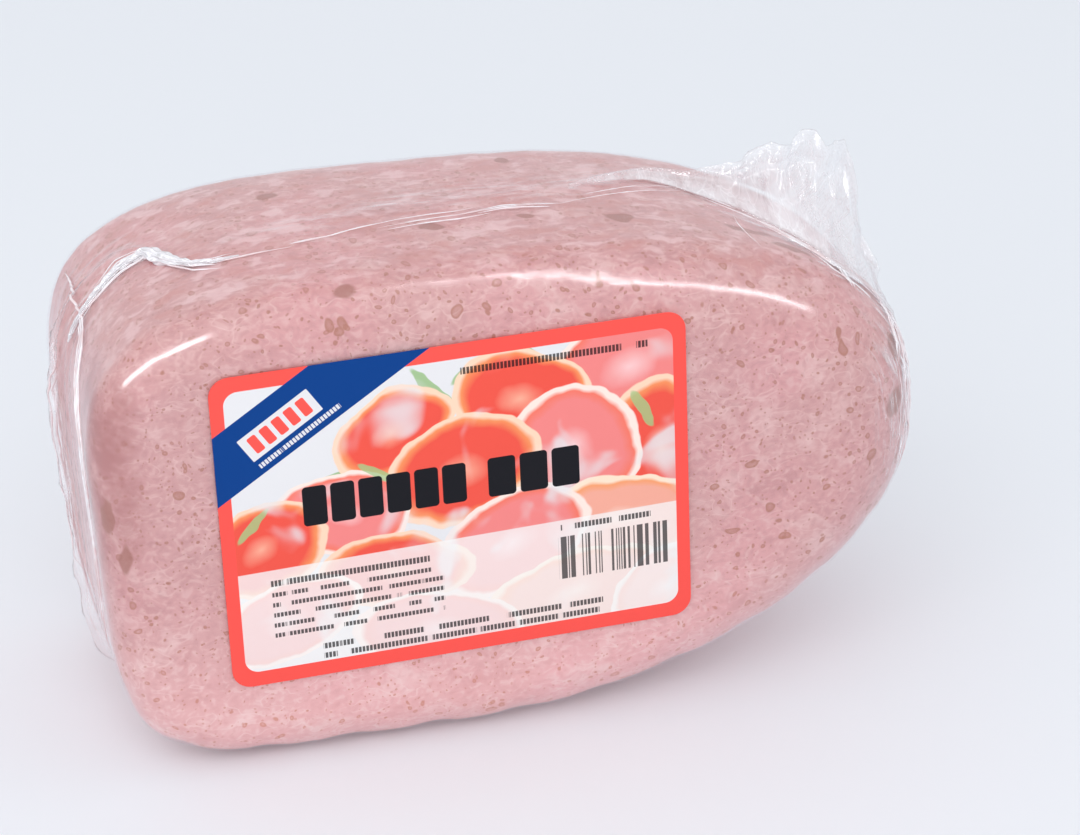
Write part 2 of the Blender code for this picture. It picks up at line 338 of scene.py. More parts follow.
def film_folds(angle, length):
    """How far the film stands off the loaf, and how bunched and veiled it is, on the side."""
    degrees = np.degrees(np.mod(angle, 2.0 * pi))
    place = outline_place(angle)
    from_seam = length - seam_length(degrees)
    crest = np.interp(np.abs(from_seam + 0.0012 * wander(place, 1)), CREST_AWAY, CREST_SHARE)
    lift = ridge_height(degrees) * crest * (0.9 + 0.22 * wander(place * 2.0, 2))
    part = {}
    folds = {}
    for name, (middle, half, power, reach, height, sets) in SEAM_FOLDS.items():
        part[name] = near_angle(degrees, middle, half) ** power
        folds[name] = sum(share * fold(from_seam / pitch + waves * wander(place, seed))
                          for pitch, waves, seed, share in sets)
        lift = lift + height * part[name] * near_distance(from_seam, reach) * folds[name]
    # The round end's film lies in folds all round its side
    around = near_angle(degrees, 8.0, 34.0) * smooth_step(0.013, 0.028, length)
    around = around * smooth_step(0.100, 0.075, length)
    around_fold = fold(length / 0.0085 + 0.9 * wander(place * 2.0, 8) + 0.5 * wander(place, 5))
    lift = lift + 0.0004 * around * (around_fold - 0.4)
    # Film is drawn towards the tail's foot
    foot = read_pairs(signed(degrees), TAIL_PATH)
    foot_fold = fold((length - foot) / 0.0042 + 0.9 * wander(place, 9))
    beside = near_distance(length - foot + 0.0035, 0.0050) * near_angle(degrees, 36.0, 44.0)
    lift = lift + 0.0004 * beside * foot_fold
    veil = (part["square_end"] * near_distance(from_seam, 0.014)
            * (0.06 + 0.26 * folds["square_end"])
            + around * (0.20 + 0.40 * around_fold + 0.15 * folds["round_end"])
            + part["top"] * near_distance(from_seam, 0.008) * (0.10 + 0.18 * folds["top"])
            + beside * (0.30 + 0.60 * foot_fold))
    return lift, np.clip(veil, 0.0, 1.0)


def loaf_surface(share, across, inward, folded):
    """Places of the sphere's points on the loaf, with the film's veil and wrapping position.

    Share runs round the outline, and across from the middle of the face to that of the back.
    """
    angle = np.interp(share, OUTLINE_SHARES, OUTLINE_ANGLES)
    total = side_length(angle)
    side = np.clip((across - FACE_SHARE) / (1.0 - FACE_SHARE - BACK_SHARE), 0.0, 1.0)
    length = side * total
    lift = np.zeros_like(angle)
    veil = np.zeros_like(angle)
    if folded:
        lift, veil = film_folds(angle, length)
        ends = smooth_step(0.0, 0.10, side) * smooth_step(1.0, 0.90, side)
        lift = lift * ends
        veil = veil * ends
    points, normals = side_point(angle, length, lift)
    to_edge = np.clip(across / FACE_SHARE, 0.0, 1.0)[:, None]
    face_normal = np.array([0.0, -1.0, 0.0])
    to_back = np.clip((1.0 - across) / BACK_SHARE, 0.0, 1.0)[:, None]
    back_middle = MIDDLE + np.array([0.0, DEPTH, 0.0])
    on_face = (across < FACE_SHARE)[:, None]
    on_back = (across > 1.0 - BACK_SHARE)[:, None]
    points = np.where(on_face, points * to_edge, points)
    points = np.where(on_back, back_middle + (points - back_middle) * to_back, points)
    normals = np.where(on_face, face_normal, np.where(on_back, -face_normal, normals))
    points = points - inward * normals
    points[:, 2] = np.maximum(points[:, 2], REST_HEIGHT + inward)
    round_turn = share * 2.0 * pi
    radius = OUTLINE_LENGTH / (2.0 * pi)
    wrap = np.stack([radius * np.cos(round_turn), radius * np.sin(round_turn),
                     length - total / 2.0], axis=-1)
    return points, veil, wrap


# Building steps that the pieces share

def deselect_all():
    for item in list(bpy.context.selected_objects):
        item.select_set(False)


def pick(made):
    """Make one object the only selected one, and active."""
    deselect_all()
    made.select_set(True)
    bpy.context.view_layer.objects.active = made


def apply_modifier(made, name):
    pick(made)
    bpy.ops.object.modifier_apply(modifier=name)


def get_points(made):
    points = np.zeros(len(made.data.vertices) * 3)
    made.data.vertices.foreach_get("co", points)
    return points.reshape(-1, 3)


def name_piece(made, name):
    made.name = name
    made.data.name = name


def add_sphere(name, segments, rings, halvings):
    """A unit sphere to be shaped, and where each of its points is on it."""
    deselect_all()
    bpy.ops.mesh.primitive_uv_sphere_add(segments=segments, ring_count=rings, radius=1.0,
                                         location=(0.0, 0.0, 0.0))
    made = bpy.context.object
    name_piece(made, name)
    finer = made.modifiers.new("finer", "SUBSURF")
    finer.subdivision_type = "SIMPLE"
    finer.levels = halvings
    finer.render_levels = halvings
    apply_modifier(made, "finer")
    points = get_points(made)
    points = points / np.linalg.norm(points, axis=1)[:, None]
    share = np.mod(np.arctan2(points[:, 1], points[:, 0]) / (2.0 * pi), 1.0)
    across = np.arccos(np.clip(points[:, 2], -1.0, 1.0)) / pi
    return made, share, across


def set_attribute(made, name, values):
    """Store a number or a vector for each point, for the material to read."""
    is_vector = values.ndim == 2
    layer = made.data.attributes.new(name, "FLOAT_VECTOR" if is_vector else "FLOAT", "POINT")
    layer.data.foreach_set("vector" if is_vector else "value",
                           values.astype(np.float32).ravel())


def shape_piece(made, points, **attributes):
    """Move the points to places laid out from the label's middle, and store their values."""
    made.data.vertices.foreach_set("co", (points + ORIGIN).astype(np.float32).ravel())
    made.data.update()
    for name, values in attributes.items():
        set_attribute(made, name, values)
    tidy_normals(made)


def tidy_normals(made):
    """Turn all faces outwards and shade them smooth."""
    pick(made)
    bpy.ops.object.mode_set(mode="EDIT")
    bpy.ops.mesh.select_all(action="SELECT")
    bpy.ops.mesh.normals_make_consistent(inside=False)
    bpy.ops.object.mode_set(mode="OBJECT")
    bpy.ops.object.shade_smooth()


def ripple(made, name, size, strength, group, depth=2):
    """Raise and lower the surface with soft noise of a size, and apply it."""
    texture = bpy.data.textures.new(name, "CLOUDS")
    texture.noise_scale = size
    texture.noise_depth = depth
    change = made.modifiers.new(name, "DISPLACE")
    change.texture = texture
    change.texture_coords = "LOCAL"
    change.strength = strength
    change.mid_level = 0.5
    change.vertex_group = group
    apply_modifier(made, name)


def free_group(made, points):
    """A vertex group that leaves the surface flat round the label and where the loaf rests."""
    group = made.vertex_groups.new(name="free")
    x, y, z = points.T
    outside = np.maximum(np.abs(x) - LABEL_HALF[0], np.abs(z) - LABEL_HALF[1])
    weight = np.where(y < 0.004, smooth_step(0.001, 0.010, outside), 1.0)
    weight = weight * smooth_step(REST_HEIGHT, REST_HEIGHT + 0.003, z)
    levels = np.round(weight * WEIGHT_LEVELS).astype(int)
    for level in range(1, WEIGHT_LEVELS + 1):
        chosen = np.nonzero(levels == level)[0]
        group.add(chosen.tolist(), level / WEIGHT_LEVELS, "REPLACE")
    return group.name


def finish_piece(made, material, node):
    """Give a piece its material, its body and the CAD node that it stands for."""
    made.data.materials.clear()
    made.data.materials.append(material)
    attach(made, BODY)
    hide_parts(node)
    deselect_all()


# Node building for the finishes

class Finish:
    """Adds nodes to one material and wires them up."""

    def __init__(self, name):
        self.material = bpy.data.materials.new(name)
        self.material.use_nodes = True
        self.tree = self.material.node_tree
        self.tree.nodes.clear()
        self.output = self.tree.nodes.new("ShaderNodeOutputMaterial")

    def put(self, socket, value):
        """Link a socket to another, or set its value, with a colour made opaque."""
        if isinstance(value, bpy.types.NodeSocket):
            self.tree.links.new(value, socket)
        elif socket.type == "RGBA":
            socket.default_value = (*value, 1.0)
        else:
            socket.default_value = value

    def node(self, kind, inputs, output=0, **fields):
        """Add a node with its fields and inputs set, and return one of its outputs."""
        made = self.tree.nodes.new("ShaderNode" + kind)
        for name, value in fields.items():
            setattr(made, name, value)
        for key, value in inputs.items():
            self.put(made.inputs[key], value)
        return made.outputs[output]

    def object_place(self):
        return self.node("TexCoord", {}, "Object")

    def attribute(self, name, output):
        return self.node("Attribute", {}, output, attribute_name=name)

    def math(self, operation, first, second=0.0, third=0.0, clamp=False):
        return self.node("Math", {0: first, 1: second, 2: third}, operation=operation,
                         use_clamp=clamp)

    def times(self, first, second):
        return self.math("MULTIPLY", first, second)

    def vector(self, operation, first, second=(0.0, 0.0, 0.0), third=(0.0, 0.0, 0.0)):
        output = "Value" if operation == "LENGTH" else "Vector"
        return self.node("VectorMath", {0: first, 1: second, 2: third}, output,
                         operation=operation)

    def drift(self, vector, scale, detail, roughness, reach):
        """The vector shifted by soft noise."""
        noise = self.noise(vector, scale, detail, roughness, output="Color")
        shift = self.vector("SUBTRACT", noise, (0.5, 0.5, 0.5))
        return self.vector("MULTIPLY_ADD", shift, (reach, reach, reach), vector)

    def local(self, vector, place, turn=0.0, size=(1.0, 1.0, 1.0)):
        """The vector as seen from a place, turned in the label's plane and in units of a size."""
        return self.node("Mapping", {"Vector": vector, "Location": place, "Scale": size,
                                     "Rotation": (0.0, -radians(turn), 0.0)}, "Vector",
                         vector_type="TEXTURE")

    def nearest(self, vector, spots):
        """The distance to the nearest of some spots, in half sizes of that spot."""
        least = None
        for x, y, z, wide, deep, high in spots:
            centre = np.array([x, y, z]) * MILLIMETRE + ORIGIN
            scale = 1.0 / (np.array([wide, deep, high]) * MILLIMETRE)
            shift = -centre * scale
            away = self.vector("LENGTH", self.vector("MULTIPLY_ADD", vector, scale, shift))
            least = away if least is None else self.math("MINIMUM", least, away)
        return least

    def noise(self, vector, scale, detail=2.0, roughness=0.5, distortion=0.0, output="Fac"):
        return self.node("TexNoise", {"Vector": vector, "Scale": scale, "Detail": detail,
                                      "Roughness": roughness, "Distortion": distortion}, output)

    def streaks(self, vector, stretch, detail, roughness, scale=1.0):
        """Soft noise that is drawn out by a scale of its own along each axis."""
        return self.noise(self.vector("MULTIPLY", vector, stretch), scale, detail, roughness)

    def fade(self, value, start, end, low=0.0, high=1.0):
        """Low at the start value and high at the end value, eased between."""
        return self.node("MapRange", {"Value": value, "From Min": start, "From Max": end,
                                      "To Min": low, "To Max": high}, "Result",
                         interpolation_type="SMOOTHSTEP")

    def blend(self, factor, first, second, mode="MIX"):
        return self.node("Mix", {0: factor, 6: first, 7: second}, 2, data_type="RGBA",
                         blend_type=mode)

    def ramp(self, value, stops):
        node = self.tree.nodes.new("ShaderNodeValToRGB")
        self.put(node.inputs["Fac"], value)
        parts = node.color_ramp.elements
        while len(parts) < len(stops):
            parts.new(1.0)
        for part, (place, colour) in zip(parts, stops):
            part.position = place
            part.color = (*colour, 1.0)
        return node.outputs["Color"]

    def axis(self, vector, name):
        return self.node("SeparateXYZ", {0: vector}, name)

    def join_axes(self, x, y, z):
        return self.node("CombineXYZ", {0: x, 1: y, 2: z})

    def bump(self, height, strength, distance):
        return self.node("Bump", {"Height": height, "Strength": strength,
                                  "Distance": distance}, "Normal")

    def principled(self, **values):
        return self.node("BsdfPrincipled", {name.replace("_", " "): value
                                            for name, value in values.items()})

    def through(self, amount, shader):
        """Show the shader by an amount, and what is behind for the rest."""
        clear = self.node("BsdfTransparent", {})
        return self.node("MixShader", {0: amount, 1: clear, 2: shader})

    def use(self, shader):
        self.put(self.output.inputs["Surface"], shader)
        return self.material


# Finishes

# Colours of the warmer and lighter streaks on top, the painted shade of the band at the square
# end, the patches, the painted light on the lower face and what shows through the creases
WARM_MEAT = (0.62, 0.255, 0.230)
LIGHT_MEAT = (0.86, 0.585, 0.590)
END_PAINTED_SHADE = (0.43, 0.155, 0.150)
BROWN_MEAT = (0.36, 0.125, 0.090)
LOW_FACE_PAINTED_LIGHT = (1.0, 0.86, 0.86)
BEHIND_CREASES = (0.86, 0.720, 0.735)

# Pores in three sizes: how many to the metre, the share of them that is left out, their size in
# their cell and how strongly they show
PORES = ((200.0, 0.42, 0.29, 0.80), (330.0, 0.25, 0.28, 0.80), (600.0, 0.30, 0.25, 0.74))

# Marks in the meat that stand out: the place from the label's middle, and half the width and
# height. Browner patches under the film: the same with half the depth before the height. All
# are in millimetres and reach a little way into the loaf
MARKS = (
    (-36.2, 1, 58.8, 1.5, 2.4), (-31.6, 1, 58.2, 1.9, 1.8), (-33.6, 1, 56, 1.9, 1.2),
    (44, 3, 62.5, 1.3, 2.4), (85.4, 0, 32.4, 1.3, 1.1), (118.3, 3, 36.2, 1.5, 2),
    (119, 3, 32.2, 1.2, 2.6), (90.3, 0, -0.5, 1.7, 1.2), (79.2, 0, -7, 1.5, 1.2),
    (96.1, 0, -15.6, 1.7, 1.4), (101.2, 0, -26.5, 1.7, 1.3), (129.6, 4, -4.4, 1.7, 1.9),
    (84.3, 0, -21.4, 2.5, 1), (-80.9, 0, 11.7, 1.8, 1.5), (-53.7, 0, -72.2, 1.6, 1),
)
MARK_DEPTH = 6.0
PATCHES = (
    (99, 33.8, 60.8, 7.5, 1.8, 10), (110.5, 28, 56, 6, 2, 10), (126.2, 43, 48, 5.5, 4, 7),
    (138.5, 48, 38, 6, 5, 7), (139.6, 17, 25, 4.5, 4, 4), (139.2, 11, 9, 8, 4, 4),
    (-101, 4, 5, 1.8, 6, 7), (-96.8, 2, -7, 1.8, 6, 5), (-39.7, 71.6, 72, 2.8, 2.6, 9),
    (59.3, 34.6, 69, 4.2, 2.4, 9), (30.9, 38.1, 71.1, 2.4, 2, 9), (2, 37, 71.1, 3.6, 2.2, 9),
    (34.5, 79.6, 72.6, 2.2, 3, 9), (-30, 9.5, 66.2, 3.8, 2.2, 4),
)


def ham_finish(settings):
    """Pale pressed meat: mottled pinks, lean flecks, ringed pores, pale fat and faint fibres."""
    finish = Finish("pressed_ham")
    place = finish.drift(finish.object_place(), 200.0, 0.0, 0.6, 0.0030)
    grain = finish.vector("MULTIPLY", place, (0.75, 1.0, 1.0))
    broad = finish.noise(place, 26.0, 1.0, 0.55)
    middle = finish.noise(grain, 105.0, 3.0, 0.66)
    fine = finish.noise(grain, 560.0, 1.0, 0.6)
    colour = finish.blend(finish.fade(broad, 0.35, 0.68), settings.meat_colour,
                          settings.rosy_colour)
    for pattern, first, last, share, shade in (
            (middle, 0.52, 0.72, 0.60, settings.pale_colour),
            (middle, 0.46, 0.30, 0.42, settings.lean_colour),
            (fine, 0.50, 0.70, 0.42, settings.pale_colour),
            (fine, 0.48, 0.30, 0.30, settings.lean_colour)):
        colour = finish.blend(finish.fade(pattern, first, last, 0.0, share), colour, shade)
    strand = finish.streaks(place, (90.0, 170.0, 190.0), 1.0, 0.5)
    strand = finish.math("ABSOLUTE", finish.math("SUBTRACT", strand, 0.5))
    strand = finish.times(finish.fade(strand, 0.018, 0.002), finish.fade(
        middle, 0.42, 0.54, 0.0, 0.55))
    colour = finish.blend(strand, colour, settings.pale_colour)
    top = finish.attribute("top", "Fac")
    fewer = finish.math("MULTIPLY_ADD", top, -0.25, 1.0)
    for scale, chance, size, depth in PORES:
        away = finish.node("TexVoronoi", {"Vector": place, "Scale": scale}, "Distance")
        draw = away.node.outputs["Color"]
        chosen = finish.fade(finish.axis(draw, "X"), chance, chance + 0.02)
        reach = finish.math("MULTIPLY_ADD", finish.axis(draw, "Y"), 0.20, size - 0.20)
        near = finish.math("SUBTRACT", reach, away)
        spot = finish.times(finish.fade(near, -0.035, 0.03), finish.times(chosen, fewer))
        ring = finish.times(spot, finish.fade(near, 0.04, 0.14, depth, depth * 0.55))
        colour = finish.blend(ring, colour, settings.fleck_colour)
    away = finish.nearest(place, [(*spot[:4], MARK_DEPTH, spot[4]) for spot in MARKS])
    mark = finish.times(finish.fade(away, 1.18, 0.90), finish.fade(
        away, 0.90, 0.40, 0.84, 0.60))
    colour = finish.blend(mark, colour, settings.fleck_colour)
    streaks = finish.streaks(place, (46.0, 105.0, 130.0), 2.0, 0.68, 1.6)
    warm = finish.times(finish.fade(streaks, 0.50, 0.68), top)
    lighter = finish.times(finish.fade(streaks, 0.48, 0.34), top)
    colour = finish.blend(finish.times(warm, 0.60), colour, WARM_MEAT)
    colour = finish.blend(finish.times(lighter, 0.62), colour, LIGHT_MEAT)
    # Painted shade: the band on the square end is darkened, mottled by the meat's pattern
    colour = finish.blend(finish.times(finish.attribute("end", "Fac"), finish.fade(
        middle, 0.34, 0.62, 0.85, 0.30)), colour, END_PAINTED_SHADE)
    patch = finish.fade(finish.nearest(place, PATCHES), 1.20, 0.80, 0.0, 0.76)
    colour = finish.blend(patch, colour, BROWN_MEAT)
    # Painted light: the lower face is lightened towards the bottom, standing in for light from the
    # floor
    low = finish.fade(finish.axis(place, "Z"), 0.070, 0.004, 0.0, 0.85)
    colour = finish.blend(low, colour, LOW_FACE_PAINTED_LIGHT, "SOFT_LIGHT")
    rough = finish.fade(fine, 0.3, 0.7, 0.36, 0.52)
    lumps = finish.noise(finish.object_place(), 150.0, 1.0, 0.6)
    meat = finish.principled(Base_Color=colour, Roughness=rough, Specular_IOR_Level=0.35,
                             Normal=finish.bump(lumps, 0.40, 0.0010))
    return finish.use(meat)


# Streaks and threads of the drawn film, as how fine they are round, up and across the side, and
# crease lines of the crumpled film, as how fine, how wide and how strong they are
STREAKS = (34.0, 34.0, 300.0)
THREADS = (80.0, 80.0, 900.0)
CREASE_LINES = ((130.0, 0.055, 0.7), (420.0, 0.090, 0.75))


def film_shader(finish, settings, veil, rough, grazing=0.80, **more):
    """Clear film: a mirror-like gloss that grows at a slant, over a veil where it is bunched."""
    facing = finish.node("LayerWeight", {"Blend": 0.5}, "Facing")
    slant = finish.math("POWER", facing, 4.0)
    gloss = finish.math("MULTIPLY_ADD", slant, grazing, settings.gloss)
    behind = finish.times(veil, finish.math("SUBTRACT", 1.0, gloss))
    amount = finish.math("ADD", gloss, behind, clamp=True)
    mirror = finish.math("DIVIDE", gloss, amount, clamp=True)
    film = finish.principled(Base_Color=settings.film_colour, Roughness=rough,
                             Metallic=mirror, **more)
    return finish.use(finish.through(amount, film))


def skin_finish(settings):
    """The film drawn over the loaf, with streaked veils along its folds."""
    finish = Finish("drawn_film")
    wrap = finish.attribute("wrap", "Vector")
    veil = finish.attribute("veil", "Fac")
    streak = finish.streaks(wrap, STREAKS, 2.0, 0.65)
    thread = finish.streaks(wrap, THREADS, 1.0, 0.6)
    lines = finish.math("ADD", finish.fade(streak, 0.46, 0.66, 0.10, 0.75),
                        finish.fade(thread, 0.52, 0.68, 0.0, 0.70))
    white = finish.math("MULTIPLY_ADD", finish.times(veil, lines), 1.5, 0.015, clamp=True)
    return film_shader(finish, settings, white, finish.fade(streak, 0.3, 0.7, 0.12, 0.17))


def crumple_finish(name, settings, base, strong, place_scale):
    """Crumpled film: clear panes between white crease lines, on the piece's own folds."""
    finish = Finish(name)
    wrap = finish.attribute("wrap", "Vector")
    bunch = finish.attribute("veil", "Fac")
    bent = finish.drift(wrap, 110.0, 3.0, 0.6, 0.007)
    tall = finish.vector("MULTIPLY", bent, place_scale)
    creases = 0.0
    for scale, width, weight in CREASE_LINES:
        edge = finish.node("TexVoronoi", {"Vector": tall, "Scale": scale}, "Distance",
                           feature="DISTANCE_TO_EDGE")
        line = finish.fade(edge, width, 0.0)
        creases = finish.math("ADD", creases, finish.times(line, weight))
    cloud = finish.noise(tall, 90.0, 3.0, 0.7)
    white = finish.math("MULTIPLY_ADD", finish.times(creases, cloud), strong, base)
    white = finish.math("ADD", white, finish.times(bunch, finish.fade(
        cloud, 0.30, 0.65, 0.25, 0.9)), clamp=True)
    height = finish.math("ADD", creases, finish.times(cloud, 0.8))
    normal = finish.bump(height, 0.22, 0.0006)
    return film_shader(finish, settings, white, 0.12, 0.25, Normal=normal)


def crease_finish(settings):
    """Thin drawn creases: glossy white film, tinted here and there by the meat behind it."""
    finish = Finish("crease_film")
    wrap = finish.attribute("wrap", "Vector")
    cloud = finish.noise(wrap, 110.0, 2.0, 0.65)
    colour = finish.blend(finish.fade(cloud, 0.62, 0.38), settings.film_colour, BEHIND_CREASES)
    return finish.use(finish.principled(Base_Color=colour, Roughness=finish.fade(
        cloud, 0.3, 0.7, 0.16, 0.30), Specular_IOR_Level=0.5))


# The label's printed shapes, in millimetres from its middle: petals and leaves with their place,
# half sizes, turn in degrees and colours, rows of dashes with their middle, half size, pitch,
# thickness and unevenness, the bars that stand for large words with their start, pitch, number
# and half width, the pale panel, stripes, frame, corner band and its white box, and each petal's
# colours from its middle out
PETALS = (
    (52, 34, 30, 19, 24, "rose"), (20, 30, 22, 15, -18, "coral"), (-18, 25, 19, 14, 30, "coral"),
    (62, 6, 18, 24, 6, "coral"), (36, 12, 21, 18, -32, "rose"), (2, 10, 24, 17, 14, "coral"),
    (-34, 2, 20, 13, -12, "rose"), (-58, -6, 19, 14, 20, "coral"), (50, -14, 26, 14, -8, "amber"),
    (16, -16, 25, 16, 22, "rose"), (-20, -19, 24, 13, -6, "coral"), (-52, -30, 22, 13, 16, "rose"),
    (34, -36, 28, 13, 8, "amber"), (-8, -41, 26, 12, -10, "rose"), (62, -40, 18, 14, 30, "blush"),
)
LEAVES = (
    (8, 42, 9, 2.0, 18), (20, 45, 8, 1.8, -28), (-6, 38, 8, 1.7, -48), (-30, 21, 9, 1.6, 58),
    (-37, 14, 8, 1.6, 12), (-24, 12, 7, 1.4, -36), (-60, 2, 7, 1.5, 40), (56, 20, 7, 1.5, -60),
)
DASHES = (
    ((28.6, 41.3), (29.8, 1.5), 3.0, 2.1, 0.16), ((-33.0, -17.2), (23.6, 1.5), 3.0, 1.9, 0.16),
    ((-31.0, -27.6), (25.5, 8.4), 3.35, 1.35, 0.20), ((44.2, -14.2), (13.8, 1.4), 2.8, 1.8, 0.2),
    ((0.0, -42.0), (42.6, 3.2), 3.2, 1.75, 0.15),
)
TITLE_BARS = ((-46.2, 8.25, 6, 3.55), (8.6, 9.6, 3, 4.15))
TITLE_PLACE = 5.9
TITLE_HALF = 6.3
PANEL_EDGE = -12.0
PANEL_COLOUR = (0.93, 0.92, 0.90)
LEAF_GREEN = (0.30, 0.50, 0.20)
FRONT_LEAF_GREEN = (0.36, 0.55, 0.24)
STRIPES_PLACE = (46.7, -24.3)
STRIPES_HALF = (17.2, 7.0)
FRAME_HALF = (66.0, 45.3)
BAND_PLACE = (-47.0, 0.0, 35.3)
BAND_TURN = 32.1
BAND_HALF = 9.35
BOX_PLACE = (-50.4, 32.9)
BOX_HALF = (12.4, 4.2)
BOX_TURN = 32.6
PETAL_COLOURS = {
    "coral": ((0.95, 0.42, 0.30), (0.88, 0.10, 0.07), (0.93, 0.30, 0.12), (0.98, 0.68, 0.50)),
    "rose": ((0.95, 0.60, 0.60), (0.90, 0.25, 0.24), (0.92, 0.20, 0.14), (0.98, 0.80, 0.72)),
    "amber": ((0.96, 0.70, 0.60), (0.92, 0.42, 0.32), (0.94, 0.36, 0.16), (0.98, 0.78, 0.60)),
    "blush": ((0.95, 0.76, 0.74), (0.93, 0.52, 0.46), (0.92, 0.40, 0.30), (0.96, 0.84, 0.78)),
}


class Print(Finish):
    """Draws printed shapes over each other, on a field of coordinates in millimetres."""

    def __init__(self, name, paper):
        super().__init__(name)
        self.ink = paper

    def lay(self, mask, colour, strength=1.0):
        """Print a colour where the mask is 1."""
        amount = mask if strength == 1.0 else self.times(mask, strength)
        self.ink = self.blend(amount, self.ink, colour)

    def block(self, place, half, turn=0.0, corner=0.5, field=None):
        """1 inside a rounded rectangle and 0 outside it."""
        here = self.local(field or self.field, (place[0], 0.0, place[1]), turn)
        past = self.vector("SUBTRACT", self.vector("ABSOLUTE", here),
                           (half[0] - corner, 1000.0, half[1] - corner))
        away = self.vector("LENGTH", self.vector("MAXIMUM", past))
        return self.fade(away, corner + 0.08, corner - 0.08)

    def round_shape(self, place, half, turn):
        """The distance from a place in half widths of an ellipse."""
        here = self.local(self.field, (place[0], 0.0, place[1]), turn,
                          (half[0], 1000.0, half[1]))
        return self.vector("LENGTH", here)

    def repeated(self, start, pitch):
        """The field with its across axis repeated at a pitch from a start."""
        across = self.math("DIVIDE", self.math("SUBTRACT", self.axis(self.field, "X"), start),
                           pitch)
        part = self.times(self.math("SUBTRACT", self.math("FRACT", across), 0.5), pitch)
        return self.join_axes(part, 0.0, self.axis(self.field, "Z"))

    def lines_of_dashes(self, place, half, pitch, thick, spread):
        """Rows of short dashes of uneven length inside a rectangle."""
        up = self.math("DIVIDE", self.math("SUBTRACT", self.axis(self.field, "Z"),
                                           place[1] - half[1]), pitch)
        row = self.math("FLOOR", up)
        in_row = self.fade(self.math("ABSOLUTE", self.math("SUBTRACT", self.math(
            "FRACT", up), 0.5)), thick / pitch / 2.0 + 0.04, thick / pitch / 2.0 - 0.02)
        along = self.axis(self.field, "X")
        spot = self.join_axes(self.times(along, spread), self.times(row, 7.31), place[0])
        words = self.fade(self.noise(spot, 1.0, 0.0), 0.36, 0.40)
        marks = self.fade(self.math("FRACT", self.times(along, 0.9)), 0.78, 0.70)
        inside = self.block(place, half, 0.0, 0.2)
        return self.times(self.times(in_row, words), self.times(marks, inside))

    def stripes(self, place, half, pitch):
        """Upright stripes of uneven width inside a rectangle."""
        along = self.math("FLOOR", self.math("DIVIDE", self.axis(self.field, "X"), pitch))
        draw = self.node("TexWhiteNoise", {"W": along}, "Value", noise_dimensions="1D")
        dark = self.math("GREATER_THAN", draw, 0.48)
        return self.times(dark, self.block(place, half, 0.0, 0.05))


def print_leaves(paint, leaves, colour, strength):
    for x, z, wide, high, turn in leaves:
        away = paint.round_shape((x, z), (wide, high), turn)
        paint.lay(paint.fade(away, 1.06, 0.90), colour, strength)


def label_finish(settings):
    """Printed glossy paper: a red frame, a blue band, petals and leaves, and plain bars."""
    paper = settings.paper_colour
    paint = Print("printed_label", paper)
    flat = paint.local(paint.object_place(), ORIGIN, settings.tilt_degrees, (MILLIMETRE,) * 3)
    paint.field = paint.drift(flat, 0.045, 3.0, 0.55, 9.0)
    print_leaves(paint, LEAVES[:5], LEAF_GREEN, 0.85)
    for x, z, wide, high, turn, kind in PETALS:
        away = paint.round_shape((x, z), (wide, high), turn)
        inner, body, edge, rim = PETAL_COLOURS[kind]
        shade = paint.ramp(away, ((0.0, inner), (0.34, body), (0.74, body),
                                  (0.87, edge), (0.93, rim), (1.0, rim)))
        paint.lay(paint.fade(away, 1.01, 0.985), shade)
    print_leaves(paint, LEAVES[5:], FRONT_LEAF_GREEN, 0.8)
    wash = paint.noise(flat, 0.05, 2.0, 0.5, 0.6)
    paint.lay(paint.fade(wash, 0.54, 0.70), paper, 0.75)
    paint.field = flat
    slope = paint.math("MULTIPLY_ADD", paint.axis(flat, "X"), -0.012, paint.axis(flat, "Z"))
    paint.lay(paint.fade(slope, PANEL_EDGE, PANEL_EDGE - 0.25), PANEL_COLOUR, 0.70)
    ink = settings.ink_colour
    for start, pitch, count, half in TITLE_BARS:
        bars = paint.block((0.0, TITLE_PLACE), (half, TITLE_HALF), 0.0, 1.2,
                           paint.repeated(start, pitch))
        reach = pitch * count / 2.0
        row = paint.block((start + reach, TITLE_PLACE), (reach, 9.0), 0.0, 0.1)
        paint.lay(paint.times(bars, row), ink)
    for centre, half, pitch, thick, spread in DASHES:
        paint.lay(paint.lines_of_dashes(centre, half, pitch, thick, spread), ink, 0.88)
    paint.lay(paint.stripes(STRIPES_PLACE, STRIPES_HALF, 0.36), ink, 0.95)
    outer = paint.block((0.0, 0.0), FRAME_HALF, 0.0, 4.2)
    paint.lay(paint.math("SUBTRACT", 1.0, outer), settings.frame_colour)
    band = paint.local(flat, BAND_PLACE, BAND_TURN)
    across = paint.math("ABSOLUTE", paint.axis(band, "Z"))
    paint.lay(paint.fade(across, BAND_HALF + 0.07, BAND_HALF - 0.07), settings.band_colour)
    paint.lay(paint.block(BOX_PLACE, BOX_HALF, BOX_TURN, 0.3), paper)
    paint.field = paint.local(flat, (BOX_PLACE[0], 0.0, BOX_PLACE[1]), BOX_TURN)
    bars = paint.block((0.0, 0.0), (1.45, 2.9), 0.0, 0.6, paint.repeated(-10.75, 4.3))
    row = paint.block((0.0, 0.0), (10.8, 3.4), 0.0, 0.1)
    paint.lay(paint.times(bars, row), settings.frame_colour)
    paint.lay(paint.lines_of_dashes((2.4, -6.5), (14.4, 1.1), 2.2, 1.5, 0.3), paper, 0.95)
    paint.field = flat
    fibre = paint.noise(flat, 0.9, 3.0, 0.6)
    smooth = paint.noise(flat, 0.035, 2.0, 0.5)
    height = paint.math("MULTIPLY_ADD", fibre, 0.06, smooth)
    return paint.use(paint.principled(
        Base_Color=paint.ink, Roughness=paint.fade(fibre, 0.3, 0.7, 0.30, 0.40),
        Specular_IOR_Level=0.12, Normal=paint.bump(height, 0.10, 0.0010)))


# Settings

def colour_setting(name, text, value):
    return FloatVectorProperty(name=name, description=text, default=value, subtype="COLOR",
                               size=3, min=0.0, max=1.0)


